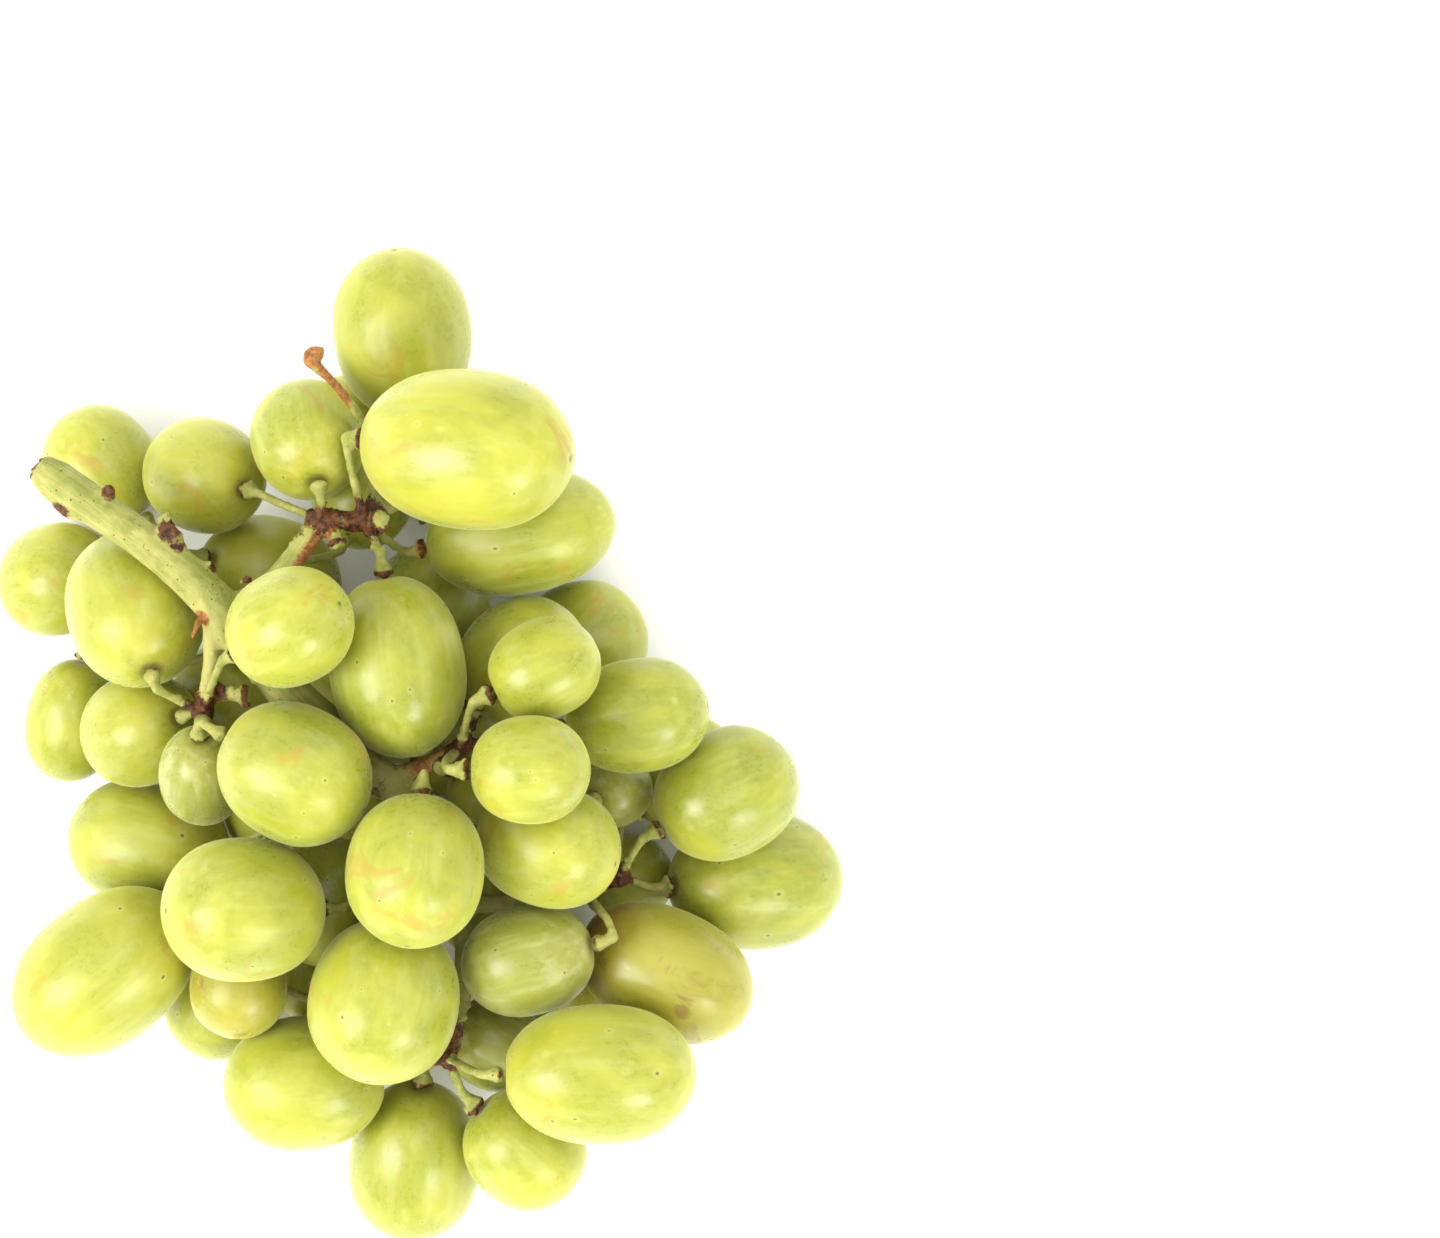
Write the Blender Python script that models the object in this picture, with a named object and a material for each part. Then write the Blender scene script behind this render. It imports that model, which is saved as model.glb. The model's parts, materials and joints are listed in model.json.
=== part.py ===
# A bunch of large green table grapes, lying on a table as it was picked.
#
# One branched woody stem carries every berry. The stem grew as one piece, and each
# berry is a piece of its own at the end of its stalk. The bunch rests on the flat
# spots of its lowest berries. Metres, +Z up, origin in the middle of the footprint.
#
# Places across the bunch are read in pixels of the photograph, 1440 wide and 1238
# high, which looks straight down. Heights above the table are in millimetres.

import math

import bmesh
import bpy
import numpy as np
from mathutils import Matrix, Vector

MM = 0.001

# Driving dimensions
BUNCH_LENGTH = 0.153          # from the uppermost berry to the lowest one in the photograph
BUNCH_TOP_PIXEL = 249
BUNCH_FOOT_PIXEL = 1237
PIXEL = BUNCH_LENGTH / (BUNCH_FOOT_PIXEL - BUNCH_TOP_PIXEL)
PHOTO_MIDDLE = (720, 619)     # the pixel that the camera looks at
EYE_HEIGHT = 1.1              # the camera above the table, so high berries look larger

BERRY_GAP = 0.7 * MM          # least air between two berries
ROUND_BERRY = 1.10            # a berry seen end-on is at least this much longer than wide
FLAT_SPOT = 0.5 * MM          # how much of a resting berry is pressed flat
SKIN_ROOM = 0.55 * MM         # air between the stem's bars and any berry
HIDDEN_GIVE = 4               # how much more readily a hidden berry gives way

STALK_RADIUS = 0.75 * MM      # a single berry's stalk
STALK_ROOT = 3.2 * MM         # how far a stalk runs straight out of its berry
COLLAR_RADIUS = 1.45 * MM     # the flared end of a stalk, against the berry
COLLAR_DEPTH = 1.1 * MM
BRANCH_GROWTH = 0.33          # how fast a branch thickens with the berries it carries

BERRY_SIDES = 12
BERRY_BANDS = 7
BERRY_SWELL = 1.018           # makes up for the flats between the corners
STEM_SIDES = 8
STEM_VOXEL = 0.42 * MM        # the grain of the skin that joins the stem's bars
STEM_FACES_KEPT = 0.07        # the share of that skin's faces that is kept

# Each berry: name, centre across and down, half length and half width in pixels, the
# way its stem end points as seen (degrees anticlockwise from the photograph's right),
# how steeply that end rises (degrees), and the height of its centre (mm).
SEEN_BERRIES = [
    ("a01", 101, 469, 64, 56, -50, 0, 9),
    ("a02", 206, 478, 62, 57.5, -18, 45, 19),
    ("a03", 310, 444, 59, 57, -75, 42, 29),
    ("a04", 404, 335, 86, 69.5, -85, -18, 19),
    ("a05", 466, 449, 109, 80, 174, -20, 45),
    ("a06", 520, 535, 97, 61, 190, -5, 28),
    ("a07", 62, 584, 60, 58, 20, 40, 9),
    ("a08", 141, 617, 79, 69, -72, 38, 29),
    ("a09", 268, 585, 73, 65, 160, 35, 13),
    ("a10", 366, 494, 52, 50, 250, 40, 15),
    ("a12", 292, 628, 66, 60, 205, -30, 48),
    ("a13", 393, 667, 93, 69, 98, 4, 43),
    ("a14", 425, 610, 66, 60, 240, 20, 14),
    ("a15", 526, 660, 66, 63, 215, -20, 25),
    ("a16", 543.5, 673, 58, 50, 205, 0, 43),
    ("a17", 575, 645, 65, 62, 200, 0, 9.6),
    ("a18", 638, 718, 73, 57, 188, -10, 31),
    ("a19", 722, 790, 75, 64, 208, 6, 24),
    ("a20", 752, 881, 88, 68, 183, 22, 10.5),
    ("a21", 530, 767, 61, 54, 180, -5, 46),
    ("a22", 546, 849, 74, 62, 165, -18, 34),
    ("a23", 618, 790, 37, 37, 205, 62, 14),
    ("a24", 628, 878, 46, 44, 180, 30, 8),
    ("a25", 73, 713, 63, 47, 78, 15, 7.6),
    ("a26", 147, 710, 61, 57, 17, 47, 19),
    ("a27", 202, 773, 50, 44, 90, 46, 30),
    ("a28", 294, 781, 80, 69, 152, -6, 43),
    ("a29", 154, 845, 82, 64, -8, 10, 14),
    ("a30", 246, 904, 82, 72.5, 0, -25, 40),
    ("a31", 111, 968, 102, 72, 38, 5, 20),
    ("a32", 236, 987, 54, 49, 90, -10, 26),
    ("a33", 413, 871, 78, 69.5, 85, -15, 46),
    ("a34", 382, 996, 84, 75, 80, -15, 34),
    ("a35", 305, 1078, 82, 67, 5, 0, 20),
    ("a36", 411, 1155, 82, 65, 84, 20, 11),
    ("a37", 523, 1144, 59, 58, 137, 12, 18),
    ("a38", 599, 1067, 97, 70, 180, 2, 31),
    ("a39", 524.5, 957, 68, 55, 14, 10, 27),
    ("a40", 659, 976, 92, 64, 155, -5, 17),
    ("a41", 328, 905, 66, 60, 90, 10, 20),
    ("a42", 497, 795, 49, 48, 150, 20, 20),
    ("a43", 306, 985, 42, 38, 80, 0, 15),
    ("a44", 497, 1047, 50, 46, 150, 10, 14),
    ("a46", 234, 998, 58, 56, 70, 10, 8.5),
    ("a48", 352, 420, 44, 42, 290, 10, 8),
]

# Berries that the photograph hides, under and inside the bunch.
HIDDEN_BERRIES = [
    ("u02", 222, 700, 58, 52, 60, 45, 9),
    ("u03", 325, 690, 62, 58, 100, 40, 11),
    ("u04", 445, 725, 64, 60, 200, 40, 11),
    ("u05", 375, 830, 62, 58, 60, 40, 10),
    ("u06", 268, 820, 58, 52, 40, 40, 9),
    ("u07", 490, 905, 60, 56, 130, 40, 10),
    ("u08", 580, 985, 60, 55, 120, 30, 9),
    ("u09", 660, 790, 60, 55, 220, 20, 9),
    ("u10", 520, 545, 58, 54, 200, 25, 10),
    ("u11", 445, 480, 58, 54, 240, 35, 10),
    ("u12", 395, 1040, 58, 54, 60, 30, 10),
    ("u13", 545, 790, 56, 52, 190, 30, 9),
]

# Berries whose lowest point is a flat spot on the table.
RESTING = ("a01", "a07", "a17", "a20", "a24", "a25", "a46", "u02", "u04", "u05", "u08", "u12", "u13")

# The stem's thick runs: points across and down (pixels), height and radius (mm).
MAIN_STEM = [
    (38, 467, 34.5, 2.9),
    (74, 494, 35.5, 3.1),
    (122, 525, 38, 2.9),
    (165, 557, 40, 2.9),
    (207, 594, 40.5, 3.3),
    (246, 642, 38.5, 3.2),
    (290, 694, 35, 3.2),
    (335, 732, 32, 3.0),
    (380, 778, 30.5, 2.9),
    (424, 806, 29, 2.6),
    (446, 850, 27, 2.3),
    (458, 905, 25, 2.1),
    (468, 955, 24, 1.9),
    (458, 1008, 24, 1.6),
    (447, 1056, 25, 1.4),
]
SIDE_STEMS = {
    "left": [(207, 594, 40.5, 1.9), (213, 640, 39.5, 1.3), (208, 685, 37.5, 1.2), (203, 713, 36, 1.4)],
    "upper": [(222, 612, 39.5, 2.1), (262, 592, 38, 1.9), (288, 566, 38, 1.8), (322, 519, 37, 1.7)],
    "knot": [(322, 519, 37, 1.4), (343, 523, 37, 1.2), (365, 521, 37, 1.4)],
    "middle": [(380, 778, 30.5, 1.6), (420, 768, 33, 1.3), (459, 750, 34, 1.4)],
    "right": [(458, 905, 25, 1.5), (520, 902, 20, 1.3), (575, 893, 20, 1.3), (619, 876, 22, 1.4)],
}
# Bare stubs that lost their berry, and a dried twig: the last point carries a cup.
STUBS = {
    "ring": [(207, 690, 37, 0.9), (222, 694, 38.5, 0.8), (247, 695, 39, 0.8)],
    "spur": [(325, 517, 37, 0.9), (333, 533, 38.5, 0.8), (337, 545, 39, 0.7)],
    "peg": [(365, 521, 37, 0.9), (374, 520, 39, 0.8), (380, 519, 41, 0.8)],
    "horn": [(459, 750, 34, 0.9), (470, 724, 36, 0.8), (477, 704, 38, 0.8)],
    "thorn": [(459, 750, 34, 0.8), (450, 760, 36, 0.7), (441, 768, 38, 0.7)],
    "twig": [(365, 521, 37, 0.8), (385, 480, 32.5, 0.75), (379, 436, 33.5, 0.75),
             (350, 406, 38, 0.8), (331, 372, 41, 0.75), (322, 354, 42.5, 0.7), (306, 357, 43, 0.7)],
    "scale": [(176, 556, 40, 0.9), (175, 535, 42, 0.8), (163, 516, 42, 0.7)],
}
# Stalks that the photograph shows: berry, and the knot that it grows from.
SEEN_STALKS = {
    "a02": (322, 519, 37),
    "a03": (322, 519, 37),
    "a05": (365, 521, 37),
    "a06": (365, 521, 37),
    "a13": (365, 521, 37),
    "a08": (203, 713, 36),
    "a26": (203, 713, 36),
    "a12": (203, 713, 36),
    "a27": (203, 713, 36),
    "a28": (203, 713, 36),
    "a16": (459, 750, 34),
    "a21": (459, 750, 34),
    "a19": (619, 876, 22),
    "a20": (619, 876, 22),
    "a36": (447, 1056, 25),
    "a37": (447, 1056, 25),
    "a38": (447, 1056, 25),
}


def place(across, down, height):
    # A photograph pixel at a height above the table becomes a point in metres.
    nearness = 1 - height * MM / EYE_HEIGHT
    x = (across - PHOTO_MIDDLE[0]) * PIXEL * nearness
    y = (PHOTO_MIDDLE[1] - down) * PIXEL * nearness
    return np.array((x, y, height * MM))


class Berry:
    # A grape is a long round body. Its axis runs out through its stem end.

    BALLS = 6

    def __init__(self, row):
        name, across, down, half_length, half_width, heading, rise, height = row
        self.name = name
        self.pixel = (across, down)
        self.middle = place(across, down, height)
        turn = math.radians(heading)
        tip = math.radians(rise)
        flat = math.cos(tip)
        self.axis = np.array((flat * math.cos(turn), flat * math.sin(turn), math.sin(tip)))
        scale = PIXEL * (1 - height * MM / EYE_HEIGHT)
        self.width = half_width * scale
        seen = half_length ** 2 - (half_width * math.sin(tip)) ** 2
        self.length = max(math.sqrt(seen) / flat * scale, self.width * ROUND_BERRY)
        self.rests = name in RESTING
        self.give = HIDDEN_GIVE if name.startswith("u") else 1

    def reach_down(self):
        # How far the body hangs below its centre.
        spare = self.length ** 2 - self.width ** 2
        return math.sqrt(self.width ** 2 + spare * self.axis[2] ** 2)

    def balls(self):
        # Balls along the axis whose envelope is the body, then the root of its stalk.
        spare = self.length ** 2 - self.width ** 2
        last = spare / self.length
        steps = np.linspace(-last, last, self.BALLS)
        radii = self.width * np.sqrt(1 - steps ** 2 / spare)
        steps = np.append(steps, self.length + 0.6 * STALK_ROOT)
        radii = np.append(radii, 1.9 * MM)
        return steps[:, None] * self.axis, radii

    def stem_end(self, beyond=0.0):
        return self.middle + self.axis * (self.length + beyond)


def smooth_line(rows, step=1.6 * MM):
    # A rounded line through hand-placed points, as places and radii.
    points = np.array([place(*row[:3]) for row in rows])
    radii = np.array([row[3] * MM for row in rows])
    padded = np.vstack((2 * points[0] - points[1], points, 2 * points[-1] - points[-2]))
    places = [points[0]]
    sizes = [radii[0]]
    for index in range(len(points) - 1):
        a, b, c, d = padded[index:index + 4]
        count = max(2, int(round(np.linalg.norm(c - b) / step)))
        for part in range(1, count + 1):
            t = part / count
            curve = 2 * b + (c - a) * t + (2 * a - 5 * b + 4 * c - d) * t ** 2
            curve = curve + (3 * b - a - 3 * c + d) * t ** 3
            places.append(0.5 * curve)
            sizes.append(radii[index] + (radii[index + 1] - radii[index]) * t)
    return np.array(places), np.array(sizes)


def push_apart(centres, offsets, radii, give):
    # The move that parts each berry from the neighbours that it sinks into.
    balls = centres[:, None, :] + offsets
    away = balls[:, None, :, None, :] - balls[None, :, None, :, :]
    distance = np.linalg.norm(away, axis=-1)
    depth = radii[:, None, :, None] + radii[None, :, None, :] + BERRY_GAP - distance
    count, size = radii.shape
    depth = depth.reshape(count, count, size * size)
    away = away.reshape(count, count, size * size, 3)
    distance = distance.reshape(count, count, size * size)
    worst = depth.argmax(axis=2)[:, :, None]
    depth = np.take_along_axis(depth, worst, 2)[..., 0]
    distance = np.take_along_axis(distance, worst, 2)[..., 0]
    away = np.take_along_axis(away, worst[..., None], 2)[:, :, 0]
    np.fill_diagonal(depth, 0)
    depth = np.clip(depth, 0, None)
    distance[distance == 0] = 1
    share = give[:, None] / (give[:, None] + give[None, :])
    return (away * (share * depth / distance)[..., None]).sum(axis=1)


def push_off_stem(centres, offsets, radii, stem_places, stem_radii):
    # The move that clears each berry of the stem's thick runs.
    balls = centres[:, None, :] + offsets
    away = balls[:, :, None, :] - stem_places[None, None, :, :]
    distance = np.linalg.norm(away, axis=-1)
    depth = radii[:, :, None] + stem_radii[None, None, :] + BERRY_GAP - distance
    count = len(centres)
    flat_depth = depth.reshape(count, -1)
    worst = flat_depth.argmax(axis=1)
    rows = np.arange(count)
    depth = np.clip(flat_depth[rows, worst], 0, None)
    direction = away.reshape(count, -1, 3)[rows, worst]
    direction = direction / np.linalg.norm(direction, axis=1)[:, None]
    return direction * depth[:, None]


def settle(berries, stem_places, stem_radii, rounds=900):
    # Parts all berries while each stays as near as it can to where it is seen.
    offsets, radii = zip(*(berry.balls() for berry in berries))
    offsets = np.array(offsets)
    radii = np.array(radii)
    centres = np.array([berry.middle for berry in berries])
    heights = centres[:, 2].copy()
    rays = np.array([place(*berry.pixel, 0) for berry in berries])
    floor = np.array([berry.reach_down() for berry in berries])
    rests = np.array([berry.rests for berry in berries])
    give = np.array([berry.give for berry in berries], dtype=float)
    for turn in range(rounds):
        hold = max(0.0, 1 - turn / (0.75 * rounds))
        nearness = 1 - centres[:, 2:3] / EYE_HEIGHT
        centres[:, :2] += (rays[:, :2] * nearness - centres[:, :2]) * 0.12 * hold
        centres[:, 2] += (heights - centres[:, 2]) * 0.03 * hold
        apart = push_apart(centres, offsets, radii, give)
        clear = push_off_stem(centres, offsets, radii, stem_places, stem_radii)
        move = apart * 0.7 + clear
        move[:, :2] *= np.where(give > 1, 1.0, 0.4)[:, None]
        centres += move
        lift = floor - FLAT_SPOT
        centres[:, 2] = np.where(rests, lift, np.maximum(centres[:, 2], lift + 2 * FLAT_SPOT))
    for berry, centre in zip(berries, centres):
        berry.middle = centre


def room_around(points, berries):
    # How far each point is from the nearest berry's skin.
    nearest = np.full(len(points), 1.0)
    for berry in berries:
        steps, radii = berry.balls()
        for offset, radius in zip(steps[:-1], radii[:-1]):
            distance = np.linalg.norm(points - berry.middle - offset, axis=1) - radius
            np.minimum(nearest, distance, out=nearest)
    return nearest


def bend_clear(points, radii, berries, rounds=60):
    # Pushes the inner points of a line out of the berries, and keeps it smooth.
    points = points.copy()
    for _ in range(rounds):
        points[1:-1] += 0.35 * (0.5 * (points[:-2] + points[2:]) - points[1:-1])
        for berry in berries:
            steps, sizes = berry.balls()
            for offset, size in zip(steps[:-1], sizes[:-1]):
                away = points - berry.middle - offset
                distance = np.linalg.norm(away, axis=1)
                depth = size + radii + SKIN_ROOM * 1.6 - distance
                depth = np.clip(depth, 0, None)
                depth[0] = 0
                depth[-1] = 0
                points += away / distance[:, None] * depth[:, None]
    return points


class Room:
    # The air between the berries on a fine grid, with the way to the nearest branch.

    STEP = 1.5 * MM
    OPEN_COST = 2.5

    def __init__(self, berries, seeds):
        self.berries = berries
        corner = np.array([berry.middle - berry.length for berry in berries]).min(axis=0)
        top = np.array([berry.middle + berry.length for berry in berries]).max(axis=0)
        corner[2] = STALK_RADIUS + SKIN_ROOM
        self.corner = corner
        self.shape = tuple(np.ceil((top - corner) / self.STEP).astype(int) + 1)
        grid = np.stack(np.meshgrid(*(np.arange(n) for n in self.shape), indexing="ij"), axis=-1)
        points = corner + grid.reshape(-1, 3) * self.STEP
        self.room = room_around(points, berries).reshape(self.shape)
        self.free = self.room > STALK_RADIUS + SKIN_ROOM
        solid = self.room < 0
        above = np.flip(np.flip(solid, 2).cumsum(axis=2), 2) > 0
        below = solid.cumsum(axis=2) > 0
        self.cost = np.where(above & below, 1.0, self.OPEN_COST)
        self.spread(seeds)

    def cell(self, point):
        index = np.rint((point - self.corner) / self.STEP).astype(int)
        return tuple(np.clip(index, 0, np.array(self.shape) - 1))

    def place(self, cell):
        return self.corner + np.array(cell) * self.STEP

    def spread(self, seeds):
        # Least distance from every free cell to the branches, by sweeping the grid.
        far = 1e6
        field = np.full(self.shape, far)
        self.seeds = {}
        for number, seed in enumerate(seeds):
            cell = self.cell(seed)
            field[cell] = 0
            self.free[cell] = True
            self.seeds[cell] = number
        steps = [(i, j, k) for i in (-1, 0, 1) for j in (-1, 0, 1) for k in (-1, 0, 1)]
        steps.remove((0, 0, 0))
        self.steps = steps
        for _ in range(400):
            before = field.sum()
            for i, j, k in steps:
                length = math.sqrt(i * i + j * j + k * k)
                here = tuple(slice(max(0, s), n + min(0, s)) for s, n in zip((i, j, k), self.shape))
                there = tuple(slice(max(0, -s), n + min(0, -s)) for s, n in zip((i, j, k), self.shape))
                field[here] = np.minimum(field[here], field[there] + length * self.cost[here])
                field[~self.free] = far
            if abs(before - field.sum()) < 1e-6:
                break
        self.field = field

    def nearest_open(self, point):
        # The best open cell close to a point that may itself be shut in.
        base = np.array(self.cell(point))
        best = None
        for i in range(-2, 3):
            for j in range(-2, 3):
                for k in range(-2, 3):
                    cell = tuple(np.clip(base + (i, j, k), 0, np.array(self.shape) - 1))
                    gap = np.linalg.norm(self.place(cell) - point) / self.STEP
                    value = self.field[cell] + 2 * gap
                    if best is None or value < best[0]:
                        best = (value, cell)
        return best[1]

    def way(self, cell):
        # The cells from here to a branch, always stepping to the nearer neighbour.
        cells = [cell]
        while cell not in self.seeds:
            choices = []
            for i, j, k in self.steps:
                other = (cell[0] + i, cell[1] + j, cell[2] + k)
                if min(other) < 0 or any(o >= n for o, n in zip(other, self.shape)):
                    continue
                length = math.sqrt(i * i + j * j + k * k)
                choices.append((self.field[other] + length * self.cost[cell], other))
            value, cell = min(choices)
            if value >= 1e6 or len(cells) > 400:
                return None
            cells.append(cell)
        return cells


def tube(points, radii, sides=STEM_SIDES):
    # A closed round bar along a line, with its own radius at each point.
    mesh = bmesh.new()
    points = [Vector(point) for point in points]
    heading = (points[1] - points[0]).normalized()
    across = heading.orthogonal().normalized()
    rings = []
    for index, point in enumerate(points):
        before = points[max(index - 1, 0)]
        after = points[min(index + 1, len(points) - 1)]
        turn = heading.rotation_difference((after - before).normalized())
        heading = (after - before).normalized()
        across.rotate(turn)
        side = heading.cross(across)
        ring = []
        for corner in range(sides):
            angle = 2 * math.pi * corner / sides
            spoke = math.cos(angle) * across + math.sin(angle) * side
            ring.append(mesh.verts.new(point + spoke * float(radii[index])))
        rings.append(ring)
    for lower, upper in zip(rings, rings[1:]):
        for corner in range(sides):
            following = (corner + 1) % sides
            mesh.faces.new((lower[corner], lower[following], upper[following], upper[corner]))
    mesh.faces.new(reversed(rings[0]))
    mesh.faces.new(rings[-1])
    bmesh.ops.triangulate(mesh, faces=mesh.faces)
    return mesh


def knob(point, radius):
    # A rounded joint where bars meet.
    mesh = bmesh.new()
    bmesh.ops.create_icosphere(mesh, subdivisions=1, radius=radius, matrix=Matrix.Translation(point))
    return mesh


def thin_out(points, radii, spacing=3.6 * MM):
    # Keeps the points of a line that are far enough apart, and both ends.
    kept = [0]
    for index in range(1, len(points) - 1):
        gap = np.linalg.norm(points[index] - points[kept[-1]])
        rest = np.linalg.norm(points[index] - points[-1])
        if gap >= spacing and rest >= 0.6 * spacing:
            kept.append(index)
    kept.append(len(points) - 1)
    return points[kept], radii[kept]


def collar(berry):
    # The flared end of a stalk, just clear of the berry's stem end.
    out = [0.0, 0.45 * COLLAR_DEPTH, COLLAR_DEPTH, STALK_ROOT]
    sizes = [COLLAR_RADIUS * 0.86, COLLAR_RADIUS, STALK_RADIUS * 1.15, STALK_RADIUS]
    points = np.array([berry.stem_end(SKIN_ROOM + step) for step in out])
    return tube(points, np.array(sizes), sides=8)


def seen_stalk(berry, knot, berries):
    # A stalk in plain sight, from its berry to its knot on the stem.
    start = berry.stem_end(SKIN_ROOM + 0.8 * STALK_ROOT)
    end = place(*knot)
    count = max(4, int(np.linalg.norm(end - start) / (1.5 * MM)))
    shares = np.linspace(0, 1, count)[:, None]
    reach = np.linalg.norm(end - start) * 0.45
    lead = start + berry.axis * reach
    points = (1 - shares) ** 2 * start + 2 * shares * (1 - shares) * lead + shares ** 2 * end
    radii = np.full(count, STALK_RADIUS)
    return bend_clear(points, radii, berries), radii


def hidden_branches(berries, hidden, seeds):
    # Branches inside the bunch: every way leads down the same field, so stalks join
    # into twigs and twigs into the thick runs, and thicken as they join.
    air = Room(berries, seeds)
    following = {}
    carried = {}
    roots = []
    for berry in hidden:
        start = berry.stem_end(SKIN_ROOM + 0.9 * STALK_ROOT)
        cells = air.way(air.nearest_open(start))
        if cells is None:
            print("no way for", berry.name)
            continue
        roots.append((start, cells[0]))
        for here, there in zip(cells, cells[1:]):
            following[here] = there
        for cell in cells:
            carried[cell] = carried.get(cell, 0) + 1
    places = {cell: air.place(cell) for cell in carried}
    for cell in places:
        if cell in air.seeds:
            places[cell] = seeds[air.seeds[cell]]
    before = {}
    for here, there in following.items():
        before.setdefault(there, []).append(here)
    soften(places, following, before, air, berries)
    return branch_lines(places, following, before, carried, roots, air, berries)


def soften(places, following, before, air, berries, rounds=30):
    # Rounds the steps of the grid off the branches and keeps them out of the berries.
    cells = [cell for cell in places if cell not in air.seeds]
    for _ in range(rounds):
        moved = {}
        for cell in cells:
            near = [places[following[cell]]] + [places[other] for other in before.get(cell, [])]
            if len(near) > 1:
                moved[cell] = 0.5 * places[cell] + 0.5 * np.mean(near, axis=0)
        places.update(moved)
        points = np.array([places[cell] for cell in cells])
        for berry in berries:
            steps, sizes = berry.balls()
            for offset, size in zip(steps[:-1], sizes[:-1]):
                away = points - berry.middle - offset
                distance = np.linalg.norm(away, axis=1)
                depth = np.clip(size + STALK_RADIUS + 1.5 * SKIN_ROOM - distance, 0, None)
                points += away / distance[:, None] * depth[:, None]
        for cell, point in zip(cells, points):
            places[cell] = point


def branch_lines(places, following, before, carried, roots, air, berries):
    # Cuts the tree into lines between its joints, each with its radii.
    lines = []
    starts = [cell for _, cell in roots]
    joints = {cell for cell, near in before.items() if len(near) > 1}
    for cell in set(starts) | joints:
        if cell in air.seeds:
            continue
        line = [cell]
        while True:
            cell = following[cell]
            line.append(cell)
            if cell in joints or cell in air.seeds:
                break
        points = np.array([places[item] for item in line])
        wish = np.array([STALK_RADIUS * carried[item] ** BRANCH_GROWTH for item in line])
        room = room_around(points, berries) - SKIN_ROOM
        lines.append((points, np.clip(wish, 0.5 * STALK_RADIUS, np.maximum(room, 0.5 * STALK_RADIUS))))
    for start, cell in roots:
        points = np.array((start, places[cell]))
        if np.linalg.norm(points[1] - points[0]) > 0.3 * MM:
            lines.append((points, np.full(2, STALK_RADIUS)))
    return lines


def stem_pieces(berries):
    # Every bar and knob of the stem, as closed meshes that run into each other.
    pieces = []
    runs = [smooth_line(MAIN_STEM)]
    runs += [smooth_line(rows) for rows in SIDE_STEMS.values()]
    seeds = []
    for number, (points, radii) in enumerate(runs):
        seeds.extend(points[18:] if number == 0 else points[2:])
        thin, sizes = thin_out(points, radii, 4.5 * MM)
        pieces.append(tube(thin, sizes, 9 if number == 0 else STEM_SIDES))
        pieces.append(knob(points[-1], radii[-1] * 1.25))
    for rows in STUBS.values():
        points, radii = smooth_line(rows)
        points = bend_clear(points, radii, berries)
        thin, sizes = thin_out(points, radii)
        sizes[-1] *= 1.7
        pieces.append(tube(thin, sizes))
    by_name = {berry.name: berry for berry in berries}
    for name, knot in SEEN_STALKS.items():
        points, radii = seen_stalk(by_name[name], knot, berries)
        pieces.append(tube(*thin_out(points, radii, 2.8 * MM)))
    hidden = [berry for berry in berries if berry.name not in SEEN_STALKS]
    for points, radii in hidden_branches(berries, hidden, np.array(seeds)):
        pieces.append(tube(*thin_out(points, radii)))
        pieces.append(knob(points[0], radii[0] * 1.12))
        pieces.append(knob(points[-1], radii[-1] * 1.12))
    pieces += [collar(berry) for berry in berries]
    return pieces


def surface(name, colour, roughness):
    # A plain coloured skin.
    material = bpy.data.materials.new(name)
    material.use_nodes = True
    shader = material.node_tree.nodes["Principled BSDF"]
    shader.inputs["Base Color"].default_value = (*colour, 1)
    shader.inputs["Roughness"].default_value = roughness
    shader.inputs["Metallic"].default_value = 0
    return material


def add_object(name, mesh, material):
    data = bpy.data.meshes.new(name)
    mesh.to_mesh(data)
    mesh.free()
    data.materials.append(material)
    item = bpy.data.objects.new(name, data)
    bpy.context.scene.collection.objects.link(item)
    return item


def make_stem(berries, shift, material):
    # All the bars grown into one skin, which is then thinned to few faces.
    grown = bmesh.new()
    scrap = bpy.data.meshes.new("bar")
    for mesh in stem_pieces(berries):
        mesh.to_mesh(scrap)
        mesh.free()
        grown.from_mesh(scrap)
    bpy.data.meshes.remove(scrap)
    bmesh.ops.translate(grown, verts=grown.verts, vec=Vector(shift))
    rachis = add_object("rachis", grown, material)
    skin = rachis.modifiers.new("one skin", "REMESH")
    skin.mode = "VOXEL"
    skin.voxel_size = STEM_VOXEL
    thin = rachis.modifiers.new("few faces", "DECIMATE")
    thin.ratio = STEM_FACES_KEPT
    thin.use_collapse_triangulate = True
    return rachis


def make_berry(name, berry, shift, material):
    # A long round body about its own +Z, which points out of its stem end.
    mesh = bmesh.new()
    bmesh.ops.create_uvsphere(mesh, u_segments=BERRY_SIDES, v_segments=BERRY_BANDS, radius=1)
    size = Vector((berry.width, berry.width, berry.length)) * BERRY_SWELL
    bmesh.ops.scale(mesh, verts=mesh.verts, vec=size)
    for corner in mesh.verts:
        corner.co.z = min(corner.co.z, berry.length)
    bmesh.ops.triangulate(mesh, faces=mesh.faces)
    item = add_object(name, mesh, material)
    turn = Vector((0, 0, 1)).rotation_difference(Vector(berry.axis))
    item.rotation_mode = "QUATERNION"
    item.rotation_quaternion = turn
    item.location = Vector(berry.middle + shift)
    if berry.rests:
        press_flat(item)
    item.data.shade_smooth()
    return item


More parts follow.
